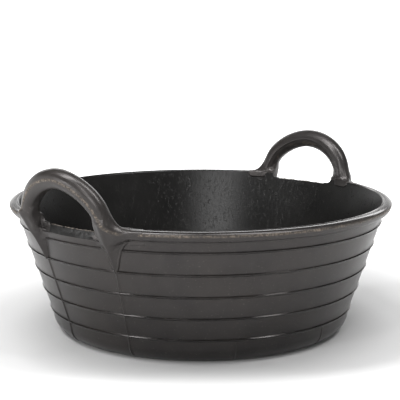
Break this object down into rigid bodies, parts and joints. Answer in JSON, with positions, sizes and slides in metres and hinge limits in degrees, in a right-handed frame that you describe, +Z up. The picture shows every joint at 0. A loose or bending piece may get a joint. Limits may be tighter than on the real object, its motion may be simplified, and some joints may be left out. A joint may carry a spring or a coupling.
{
  "type": "mortar mixing tub",
  "caption": "Low round tub of black moulded rubber with ribbed sloping walls, a rolled rim and two arched carrying handles on opposite sides.",
  "frame": {"origin": "on the ground, under the centre of the tub's floor", "axes": "+Z up out of the mouth; the two handles stand on the X axis, the right one at +X; the front is -Y"},
  "size_m": [0.5128, 0.48, 0.2272],
  "materials": {
    "wall_rubber": "satin moulded rubber, faintly mottled, with fine scuffs",
    "floor_rubber": "dull moulded rubber, scuffed and dusty",
    "rim_rubber": "satin rubber with a rough brown-grey trimmed parting line",
    "handle_rubber": "satin rubber, rubbed brighter where hands hold it, with a rough parting line",
    "core_cord": "twisted nylon reinforcing cord"
  },
  "bodies": {
    "tub": {"floor_disc": "floor_rubber", "heel_ring": "wall_rubber", "wall_shell": "wall_rubber", "rim_bead_front": "rim_rubber", "rim_bead_back": "rim_rubber", "handle_sill_right": "handle_rubber", "handle_sill_left": "handle_rubber", "handle_foot_right_back": "handle_rubber", "handle_foot_right_front": "handle_rubber", "handle_foot_left_back": "handle_rubber", "handle_foot_left_front": "handle_rubber", "core_tail_right_back": "core_cord", "core_tail_right_front": "core_cord", "core_tail_left_back": "core_cord", "core_tail_left_front": "core_cord"},
    "right_handle": {"handle_grip_right": "handle_rubber", "handle_core_right": "core_cord"},
    "left_handle": {"handle_grip_left": "handle_rubber", "handle_core_left": "core_cord"}
  },
  "joints": [
    {"name": "right_handle_flex", "type": "hinge", "parent": "tub", "child": "right_handle", "pos_m": [0.23632, 0, 0.1848], "axis": [0, -1, 0], "range_deg": [-10, 30], "stiffness_Nm_per_rad": 4},
    {"name": "left_handle_flex", "type": "hinge", "parent": "tub", "child": "left_handle", "pos_m": [-0.23632, 0, 0.1848], "axis": [0, 1, 0], "range_deg": [-10, 30], "stiffness_Nm_per_rad": 4}
  ]
}
